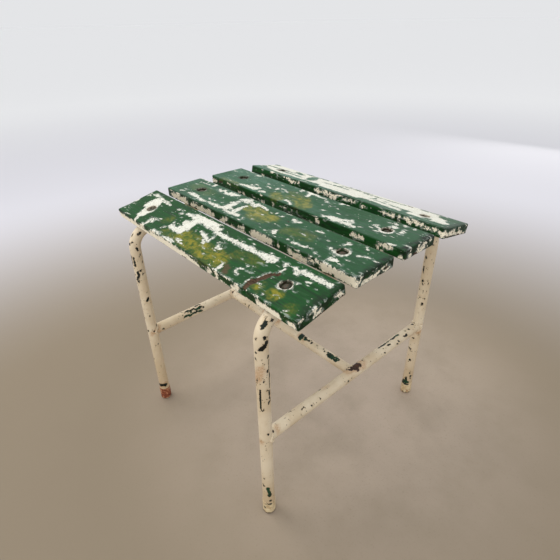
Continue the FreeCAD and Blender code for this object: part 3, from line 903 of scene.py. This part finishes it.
def sweep_faces(rings, segments, closed=False):
    """Quads between neighbouring rings of points."""
    faces = []
    for r in range(rings if closed else rings - 1):
        here, there = r * segments, (r + 1) % rings * segments
        for n in range(segments):
            m = (n + 1) % segments
            faces.append((here + n, here + m, there + m, there + n))
    return faces


def tube_surface(centres, outward, sideways, radius, end_cut):
    """The points of a tube's rings, and each one's outward direction, place along and angle."""
    turn = np.radians(np.arange(SEGMENTS) * 360 / SEGMENTS)
    steps = np.linalg.norm(np.diff(centres, axis=0), axis=1)
    along = np.concatenate([[0], np.cumsum(steps)])
    total = along[-1]
    span = centres[-1] - centres[0]
    points, normals, s, angle = [], [], [], []
    for n, centre in enumerate(centres):
        direction = np.cos(turn)[:, None] * outward[n] + np.sin(turn)[:, None] * sideways[n]
        ring = centre + direction * radius
        if end_cut is not None:
            ring = ring + end_cut(turn)[:, None] * (1 - 2 * along[n] / total) * span / total
        points.append(ring)
        normals.append(direction)
        s.append(np.full(SEGMENTS, along[n]))
        angle.append(np.degrees(turn))
    return [np.concatenate(part) for part in (points, normals, s, angle)]


def tube_mesh(name, rings, radius, look, material, end_cut=None):
    """A painted tube along its rings; end_cut(angles) gives how far an end ring's points move inwards."""
    centres, outward, sideways = rings
    points, normals, s, angle = tube_surface(centres, outward, sideways, radius, end_cut)
    seed = look["seed"]
    warp_s = noise(points, (7, 7, 7), seed, 2) * 1.6
    warp_a = noise(points, (7, 7, 7), seed + 4, 2) * 1.6
    fray = noise(points, (3.5, 3.5, 3.5), seed + 8, 3)
    s_warped = s + warp_s
    angle_warped = angle + np.degrees(warp_a / radius)
    flecks = noise(points, (4, 4, 6), seed + 12, 3)
    density = noise(points, (60, 60, 60), seed + 15, 2)
    chip = tube_depth(s_warped, angle_warped, radius, look["chips"]) + fray * 0.9 + 0.35
    chip = np.maximum(chip, (flecks - look["sparse"] + density * 0.25) * 4 - 0.1)
    # Scratches keep a straight, clean outline.
    chip = np.maximum(chip, tube_depth(s, angle, radius, look.get("lines", ())) * 3)
    bare = tube_depth(s_warped, angle_warped, radius, look.get("bare", ())) + fray * 0.9
    green = smoothstep(tube_depth(s_warped, angle_warped, radius, look.get("green", ())), -2, 1)
    rust = smoothstep(tube_depth(s_warped, angle_warped, radius, look.get("rust", ())) + fray * 2, -4, 3)
    rust = np.maximum(rust, smoothstep(noise(points, (22, 22, 40), seed + 19, 3), 0.8, 1.6) * 0.4)
    lumps = 0.10 * noise(points, (12, 12, 12), seed + 22, 2)
    loss = 0.22 * smoothstep(np.maximum(chip, bare), -0.5, 0.5)
    points = points + normals * (np.minimum(lumps, 0.0) - loss)[:, None]
    attributes = {"chip": stored(chip), "bare": stored(bare), "green": green, "rust": rust}
    return make_mesh(name, points, sweep_faces(len(centres), SEGMENTS), attributes, material)


def back_leg(marks, total):
    """Marks written from the back foot with 0 degrees facing the front, in rail terms."""
    turned = []
    for mark in marks:
        if len(mark) == 3:
            turned.append((total - mark[0], 180 - mark[1], mark[2]))
        else:
            turned.append((total - mark[0], 180 - mark[1], total - mark[2], 180 - mark[3], mark[4]))
    return turned


# Marks on the tubes: spots (s, degrees, radius) or strokes (s1, degrees1, s2, degrees2, radius). On a leg, s
# runs up from its foot, and 0 degrees faces the front and 90 degrees faces +X.
FRONT_LEFT = [
    (37, -60, 37, 100, 3), (110, 5, 1.8), (186, 5, 2), (214, -5, 1.6), (255, -5, 1.8),
    (258, 90, 262, 92, 3), (183, 80, 2.2), (150, 95, 2), (186, 140, 195, 140, 2), (314, 48, 319, 46, 2.9),
    (323, 80, 1.8), (335, 28, 351, 30, 2.2), (300, 28, 309, 30, 1.6), (340, 115, 1.8), (355, 117, 1.8),
    (338, -10, 352, -12, 2.2), (313, -5, 1.8), (373, 0, 2.2), (378, 35, 2), (387, 0, 2.2), (276, -10, 1.4),
    (296, -8, 1.4), (394, 60, 2.4), (392, -60, 396, -80, 2.4), (60, -150, 66, -150, 2.5),
    (365, 88, 369, 84, 2),
]
FRONT_RIGHT = [
    (32, 70, 2.4), (45, 62, 68, 56, 2.2), (72, 15, 1.8), (92, 15, 1.5), (296, 22, 1.6),
    (265, 112, 280, 112, 1.5), (260, 100, 2), (284, 85, 2), (196, 75, 2), (318, 88, 1.8), (338, 0, 1.8),
    (350, 10, 2), (371, 12, 2), (385, 30, 390, 34, 2.6), (357, 55, 366, 105, 3.4), (373, 85, 2.6),
    (342, 105, 2), (396, 70, 2.4), (120, -100, 126, -96, 2), (160, -140, 1.8), (403, 20, 2.4),
    (300, 60, 1.5), (330, 60, 1.6),
]
BACK_RIGHT = [
    (31, -14, 31, 30, 4.5), (38, 8, 3.5), (43, 10, 2.2), (93, 20, 3), (123, 0, 2), (58, 45, 2),
    (234, 38, 238, 42, 2.2), (287, 0, 2.2), (310, -20, 316, -20, 2), (338, -18, 2), (50, 65, 2),
    (365, 30, 2.4), (372, -20, 2), (150, 10, 1.4),
]
BACK_LEFT = [
    (60, 20, 2.2), (112, 60, 2), (240, 10, 246, 12, 2), (300, 70, 2.4), (352, 30, 2.2), (30, -10, 4),
]
RIGHT_STRETCHER = [
    (48, -30, 2), (68, 25, 1.8), (177, 78, 1.8), (186, 75, 1.8), (283, -12, 300, -16, 1.6),
    (304, -14, 313, -10, 1.4), (319, -10, 342, -6, 1.9), (300, 30, 306, 32, 2), (362, 5, 1.6),
    (372, 10, 1.8), (282, 68, 1.8), (321, 80, 1.8), (328, 60, 1.8), (351, 46, 355, 48, 2.4),
    (392, -10, 2.5), (120, -40, 1.6), (140, 120, 146, 124, 2),
]
LEFT_STRETCHER = [
    (17, 85, 2), (68, 70, 84, 86, 2.2), (80, 84, 92, 72, 2.0), (96, 74, 112, 96, 2.4), (104, 88, 2.4),
    (82, 0, 1.6), (96, -2, 1.4), (70, 20, 90, 24, 1.6), (92, 40, 112, 42, 1.8), (108, 2, 1.4),
    (62, 45, 1.6), (85, 45, 1.4), (105, 58, 1.4), (116, 60, 1.8), (300, 80, 306, 84, 2.2), (196, 70, 2.6),
]
CROSS_BAR = [
    (226, -12, 229, 48, 4.2), (236, 8, 241, 30, 3.2), (248, 22, 2.4), (256, 26, 1.6), (251, 0, 1.6),
    (268, 5, 1.4), (283, 5, 1.3), (289, 15, 1.4), (297, 8, 325, 6, 1.7), (302, 30, 322, 34, 2.7),
    (50, 85, 1.3), (160, 90, 1.3), (172, 105, 1.5),
]
FRAME_LOOKS = {
    "left": {
        "seed": 101,
        "front": {
            "chips": FRONT_LEFT,
            "green": [(72, 60, 2)],
            "rust": [(34, 0, 40, 90, 5), (178, 60, 184, 120, 5)],
        },
        "back": {"chips": BACK_LEFT},
    },
    "right": {
        "seed": 131,
        "front": {
            "chips": FRONT_RIGHT,
            "lines": [
                (250, 22, 286, 25, 1.5), (250, 22, 245, 30, 1.0), (245, 30, 247, 48, 1.0),
                (285, 112, 336, 112, 0.9),
            ],
            "green": [(50, 60, 66, 58, 4)],
            "rust": [(303, -10, 322, 40, 7), (170, -60, 178, 0, 4)],
        },
        "back": {"chips": BACK_RIGHT, "green": [(34, 8, 14)], "rust": [(170, 60, 182, 60, 6)]},
    },
}
STRETCHER_LOOKS = {
    "left": {
        "seed": 161, "sparse": 1.0, "chips": LEFT_STRETCHER, "green": [(72, 75, 110, 80, 8)],
        "rust": [(196, 60, 206, 110, 6), (4, 60, 4, 120, 5)],
    },
    "right": {
        "seed": 191, "sparse": 1.0, "chips": RIGHT_STRETCHER,
        "bare": [(195, -52, 215, -48, 5), (198, -15, 214, 0, 6.5), (206, 20, 207, 48, 3)],
        "green": [(284, 5, 340, 5, 6)], "rust": [(10, 20, 12, 60, 3), (190, -20, 222, 10, 10)],
    },
}
CROSS_BAR_LOOK = {
    "seed": 211, "sparse": 1.1, "chips": CROSS_BAR, "green": [(222, 40, 240, 45, 6), (298, 35, 324, 35, 5)],
    "rust": [(115, 0, 155, 20, 9), (224, 0, 236, 30, 6)],
}


def frame_look(side, total):
    """A frame tube's look: its front leg's marks, and its back leg's turned to run from the front foot."""
    legs = FRAME_LOOKS[side]
    look = {"seed": legs["seed"], "sparse": 1.02}
    for kind in ("chips", "lines", "green", "rust"):
        look[kind] = legs["front"].get(kind, []) + back_leg(legs["back"].get(kind, []), total)
    return look


def add_frames(paint):
    """The two rail-and-leg tubes."""
    for side in ("left", "right"):
        node = "frame_tube_" + side
        rings = rail_rings(middle_x(node))
        total = float(np.linalg.norm(np.diff(rings[0], axis=0), axis=1).sum())
        piece = tube_mesh("painted_frame_tube_" + side, rings, TUBE_RADIUS, frame_look(side, total), paint)
        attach(piece, "root")
        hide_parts(node)


def straight_rings(start, end, outward, sideways):
    """Ring centres, outward directions and sideways directions of a straight tube."""
    start, end = np.array(start, float), np.array(end, float)
    count = round(float(np.linalg.norm(end - start)) / RING_STEP)
    centres = np.array([start + (end - start) * n / count for n in range(count + 1)])
    return centres, np.tile(outward, (count + 1, 1)), np.tile(sideways, (count + 1, 1))


def saddle_cut(bar_radius, host_radius, across):
    """How far each point of a bar's end ring stops short of the host tube's centre line."""
    def cut(turn):
        offset = bar_radius * across(turn)
        return np.sqrt(np.maximum(host_radius ** 2 - offset ** 2, 0.0))
    return cut


def add_low_bars(paint):
    """Two side stretchers between the legs and the cross bar between the stretchers."""
    up, right, forward = (0.0, 0.0, 1.0), (1.0, 0.0, 0.0), (0.0, -1.0, 0.0)
    cut = saddle_cut(TUBE_RADIUS, TUBE_RADIUS, np.sin)
    for side in ("left", "right"):
        node = "side_stretcher_" + side
        x = middle_x(node)
        # Angles run from the top towards +X.
        rings = straight_rings((x, -LEG_Y, LOW_BAR_Z), (x, LEG_Y, LOW_BAR_Z), up, right)
        name = "painted_side_stretcher_" + side
        piece = tube_mesh(name, rings, TUBE_RADIUS, STRETCHER_LOOKS[side], paint, cut)
        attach(piece, "root")
        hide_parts(node)
    x = middle_x("frame_tube_right")
    # Angles run from the top towards the front.
    rings = straight_rings((-x, 0, LOW_BAR_Z), (x, 0, LOW_BAR_Z), up, forward)
    cut = saddle_cut(CROSS_RADIUS, TUBE_RADIUS, np.cos)
    piece = tube_mesh("painted_cross_bar", rings, CROSS_RADIUS, CROSS_BAR_LOOK, paint, cut)
    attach(piece, "root")
    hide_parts("cross_bar")


WELD_RADIUS = 2.6
WELD_STEPS = 96
WELD_SEGMENTS = 14
WELD_RIPPLES = 17
WELD_EASE = 2.0


def weld_mesh(name, curve, outward, seed, material, look):
    """A lumpy fillet of weld metal swept round the joint curve."""
    points = []
    turn = np.radians(np.arange(WELD_SEGMENTS) * 360 / WELD_SEGMENTS)
    tangent = np.roll(curve, -1, axis=0) - np.roll(curve, 1, axis=0)
    tangent /= np.linalg.norm(tangent, axis=1)[:, None]
    inner = outward - (outward * tangent).sum(1)[:, None] * tangent
    inner /= np.linalg.norm(inner, axis=1)[:, None]
    across = np.cross(tangent, inner)
    beads = 1 + 0.16 * np.sin(np.arange(WELD_STEPS) * 2 * math.pi * WELD_RIPPLES / WELD_STEPS)
    lumps = noise(curve, (6, 6, 6), seed, 2)
    for n in range(WELD_STEPS):
        radius = WELD_RADIUS * (beads[n] * 0.9 + 0.16 * lumps[n])
        ring = curve[n] + radius * (np.cos(turn)[:, None] * inner[n] + np.sin(turn)[:, None] * across[n])
        points.append(ring)
    points = np.concatenate(points)
    fray = noise(points, (4, 4, 4), seed + 3, 3)
    chip = (fray - 1.1) * 4
    bare = (noise(points, (6, 6, 6), seed + 6, 3) - look["bare"]) * 5
    rust = smoothstep(noise(points, (9, 9, 9), seed + 9, 2), look["rust"], look["rust"] + 0.9)
    attributes = {"chip": stored(chip), "bare": stored(bare), "green": rust * 0, "rust": rust}
    return make_mesh(name, points, sweep_faces(WELD_STEPS, WELD_SEGMENTS, True), attributes, material)


def add_welds(paint):
    """Beads where the stretchers meet the legs and where the cross bar meets the stretchers."""
    turn = np.radians(np.arange(WELD_STEPS) * 360 / WELD_STEPS)
    seed = 300
    for side, x_side in (("left", -1.0), ("right", 1.0)):
        x = middle_x("side_stretcher_" + side)
        for end, y_side in (("front", -1.0), ("back", 1.0)):
            # The bar is as thick as the leg, so the joint curve's two corners are eased.
            back_off = np.sqrt((TUBE_RADIUS * np.cos(turn)) ** 2 + WELD_EASE ** 2)
            curve = np.stack([x + TUBE_RADIUS * np.sin(turn), y_side * (LEG_Y - back_off),
                              LOW_BAR_Z + TUBE_RADIUS * np.cos(turn)], 1)
            outward = np.stack([np.sin(turn) * 2, -y_side * np.abs(np.cos(turn)), np.cos(turn)], 1)
            node = "weld_" + side + "_" + end
            piece = weld_mesh("lumpy_" + node, curve, outward, seed, paint, {"bare": 0.9, "rust": 0.5})
            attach(piece, "root")
            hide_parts(node)
            seed += 17
        stop = np.sqrt(TUBE_RADIUS ** 2 - (CROSS_RADIUS * np.cos(turn)) ** 2)
        curve = np.stack([x - x_side * stop, -CROSS_RADIUS * np.sin(turn),
                          LOW_BAR_Z + CROSS_RADIUS * np.cos(turn)], 1)
        outward = np.stack([-x_side * stop / TUBE_RADIUS, -np.sin(turn), 2 * np.cos(turn)], 1)
        node = "weld_cross_bar_" + side
        piece = weld_mesh("lumpy_" + node, curve, outward, seed, paint,
                          {"bare": 0.15 if side == "right" else 0.5, "rust": 0.0})
        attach(piece, "root")
        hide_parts(node)
        seed += 17


CAP_SEGMENTS = 56
CAP_LOOKS = {
    "left_front": {
        "seed": 401, "bare": 3.0,
        "dark": [(36, -90, 36, 90, 0.5)],
    },
    "right_front": {
        "seed": 421, "bare": -3.4,
        "dark": [
            # The ring at 2 mm round the base is painted shade where the cap meets the floor.
            (15, 10, 3), (26.5, 20, 26.5, 100, 1.2), (2, -120, 2, 120, 1.0), (20, -45, 3), (9, -60, 2.2),
        ],
    },
    "right_back": {
        "seed": 441, "bare": -2.6,
        # The ring at 3 mm round the base is painted shade where the cap meets the floor.
        "dark": [(27, -50, 27, 40, 2.6), (3, -90, 3, 90, 0.9)],
    },
    "left_back": {
        "seed": 461, "bare": -1.0,
        "dark": [(26, -40, 26, 60, 2)],
    },
}
CAP_EDGE = 2.8
CAP_EDGE_STEPS = 5
CAP_WALL_STEPS = 18


def cap_profile(height, radius):
    """(radius, height) rings of the cap from the middle of its floor up to the inside of its lip."""
    rings = [(radius * part, 0.0) for part in (0.12, 0.35, 0.55)] + [(radius - CAP_EDGE, 0.0)]
    for step in range(1, CAP_EDGE_STEPS + 1):
        a = math.pi / 2 * step / CAP_EDGE_STEPS
        rings.append((radius - CAP_EDGE + CAP_EDGE * math.sin(a), CAP_EDGE * (1 - math.cos(a))))
    for step in range(1, CAP_WALL_STEPS + 1):
        rings.append((radius, CAP_EDGE + (height - 0.7 - CAP_EDGE) * step / CAP_WALL_STEPS))
    rings += [(radius - 0.15, height - 0.3), (radius - 0.45, height), (radius - 0.8, height - 0.1),
              (radius - 1.1, height - 0.8), (radius - 1.2, height - 3)]
    return rings


def cap_surface(height, radius):
    """The points of a cap's rings, and each one's outward direction, place up the cap and angle."""
    turn = np.radians(np.arange(CAP_SEGMENTS) * 360 / CAP_SEGMENTS)
    around = np.stack([np.sin(turn), -np.cos(turn), np.zeros(CAP_SEGMENTS)], 1)
    points, normals, s, angle = [], [], [], []
    for ring_radius, z in cap_profile(height, radius):
        points.append(around * ring_radius + (0, 0, z))
        normals.append(around * (ring_radius > radius - 2.9))
        s.append(np.full(CAP_SEGMENTS, z - (radius - ring_radius) * (z < 1)))
        angle.append(np.degrees(turn))
    return [np.concatenate(part) for part in (points, normals, s, angle)]


def cap_mesh(name, low, high, look, material):
    """A dented foot cap that fills its CAD box, with its wear attributes."""
    radius, height = (high[0] - low[0]) / 2, high[2] - low[2]
    points, normals, s, angle = cap_surface(height, radius)
    seed = look["seed"]
    fray = noise(points, (3.5, 3.5, 3.5), seed, 3)
    dents = noise(points, (11, 11, 11), seed + 5, 2)
    bare = look["bare"] + noise(points, (8, 8, 8), seed + 9, 3) * 3.2 + smoothstep(-s, -4, 0) * 4
    chip = tube_depth(s, angle, radius, look["dark"]) + fray * 1.1
    points = points + normals * np.minimum(0.0, dents * 0.35 - 0.1)[:, None]
    middle = len(points)
    points = np.concatenate([points, [[0, 0, 0]]])
    faces = sweep_faces(len(s) // CAP_SEGMENTS, CAP_SEGMENTS)
    faces += [((n + 1) % CAP_SEGMENTS, n, middle) for n in range(CAP_SEGMENTS)]
    centre = ((low[0] + high[0]) / 2, (low[1] + high[1]) / 2, low[2])
    attributes = {"bare": np.append(stored(bare), 3.0), "chip": np.append(stored(chip), -3.0)}
    return make_mesh(name, points + centre, faces, attributes, material)


def add_foot_caps(material):
    """The four pressed caps over the legs' ends."""
    for place, look in CAP_LOOKS.items():
        node = "foot_cap_" + place
        low, high = (np.array(corner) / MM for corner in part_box(node))
        piece = cap_mesh("worn_" + node, low, high, look, material)
        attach(piece, "root")
        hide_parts(node)


# ---------------------------------------------------------------- floor, light and camera

# Half the floor's side, in metres, so that its far edge is never seen.
FLOOR_HALF = 90.0


def add_floor():
    """A plain floor, tan round the bench with a painted pool of light right under the seat, and paler further
    away.
    """
    mesh = bpy.data.meshes.new("studio_floor")
    corners = [(x * FLOOR_HALF, y * FLOOR_HALF, 0) for x, y in ((-1, -1), (1, -1), (1, 1), (-1, 1))]
    mesh.from_pydata(corners, [], [(0, 1, 2, 3)])
    floor = bpy.data.objects.new("studio_floor", mesh)
    bpy.context.scene.collection.objects.link(floor)
    s = Shader("pale_floor")
    mottle = s.noise((9, 9, 9), 6, 0.6)
    grit = s.noise((260, 260, 260), 3, 0.6)
    # Painted light: the floor is lighter right under the seat, against the seat's shadow.
    light_pool_under_seat = s.ramp(s.distance((0.08, 0.1, 0.0)), 0.05, 0.55)
    near = s.mix(light_pool_under_seat, srgb(192, 175, 157), srgb(138, 124, 104))
    near = s.mix(s.ramp(mottle, 0.35, 0.75, 0.0, 0.35), near, srgb(140, 127, 106))
    near = s.mix(s.ramp(grit, 0.55, 0.8, 0.0, 0.4), near, srgb(128, 116, 95))
    distance = s.distance((0.3, -0.3, 0.0))
    colour = s.mix(s.ramp(distance, 0.75, 2.0), near, srgb(216, 215, 221))
    colour = s.mix(s.ramp(distance, 2.0, 5.0), colour, srgb(255, 255, 255))
    mesh.materials.append(s.finish(colour, 0.8, s.bump(mottle, 0.0005, 0.2)))


def matrix_from_axes(right, upward, forward, place):
    """A placed matrix for a lamp or camera that looks along forward."""
    columns = [right, upward, -np.array(forward), place]
    return Matrix([[*(column[row] for column in columns)] for row in range(3)] + [[0, 0, 0, 1]])


def add_area_light(name, place, target, size, power, colour):
    """A soft round lamp that points at a target."""
    light = bpy.data.lights.new(name, "AREA")
    light.shape = "DISK"
    light.size = size
    light.energy = power
    light.color = colour
    lamp = bpy.data.objects.new(name, light)
    bpy.context.scene.collection.objects.link(lamp)
    direction = np.array(target) - np.array(place)
    forward = direction / np.linalg.norm(direction)
    right = np.cross(forward, (0, 0, 1))
    right /= np.linalg.norm(right)
    upward = np.cross(right, forward)
    lamp.matrix_world = matrix_from_axes(right, upward, forward, place)


def add_camera():
    """Standing view from the front right, looking down at the seat."""
    yaw, pitch, roll = math.radians(138.6), math.radians(31.32), math.radians(-1.1)
    forward = np.array([math.cos(yaw) * math.cos(pitch), math.sin(yaw) * math.cos(pitch), -math.sin(pitch)])
    level = np.array([math.sin(yaw), -math.cos(yaw), 0])
    above = np.cross(level, forward)
    right = math.cos(roll) * level + math.sin(roll) * above
    upward = math.cos(roll) * above - math.sin(roll) * level
    data = bpy.data.cameras.new("camera")
    data.sensor_width = 36.0
    data.lens = 27.7
    data.clip_start = 0.01
    camera = bpy.data.objects.new("camera", data)
    camera.matrix_world = matrix_from_axes(right, upward, forward, (0.5141, -0.4648, 0.716))
    bpy.context.scene.collection.objects.link(camera)
    bpy.context.scene.camera = camera


def add_light():
    """A pale room and three soft lamps."""
    world = bpy.data.worlds.new("soft_room")
    world.use_nodes = True
    background = world.node_tree.nodes["Background"]
    background.inputs["Color"].default_value = (0.97, 0.98, 1.0, 1)
    background.inputs["Strength"].default_value = 0.8
    bpy.context.scene.world = world
    add_area_light("key", (-1.0, -0.4, 2.4), (0, 0, 0.3), 1.6, 26, (1.0, 0.98, 0.95))
    add_area_light("fill", (0.9, -2.2, 0.8), (0, 0, 0.2), 1.6, 11, (1.0, 0.97, 0.93))
    add_area_light("back", (-0.3, 2.2, 1.0), (0, 0, 0.1), 2.0, 5, (1.0, 0.98, 0.96))
    bpy.context.scene.view_settings.view_transform = "Standard"


# ---------------------------------------------------------------- build

def repaint(prefixes, material):
    """Give the CAD nodes whose names start this way another material."""
    for node_name, node_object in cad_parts.items():
        if node_name.startswith(prefixes):
            node_object.data.materials.clear()
            node_object.data.materials.append(material)


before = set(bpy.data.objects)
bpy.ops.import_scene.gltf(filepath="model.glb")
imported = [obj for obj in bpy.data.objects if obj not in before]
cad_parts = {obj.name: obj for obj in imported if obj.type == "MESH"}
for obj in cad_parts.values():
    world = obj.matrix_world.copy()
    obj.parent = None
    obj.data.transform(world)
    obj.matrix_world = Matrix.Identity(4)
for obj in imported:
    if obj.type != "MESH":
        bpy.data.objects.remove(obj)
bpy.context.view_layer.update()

slat_paint = slat_material()
for slat_name, slat_look in SLATS.items():
    slat_piece = slat_mesh(slat_name, slat_look, slat_paint)
    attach(slat_piece, "root")
    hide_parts("slat_" + slat_name)

cream_paint = tube_material()
add_frames(cream_paint)
add_low_bars(cream_paint)
add_welds(cream_paint)
add_foot_caps(cap_material())

repaint("bolts_", bolt_material())
repaint(("washers_", "nuts_"), zinc_material())

add_floor()
add_light()
add_camera()
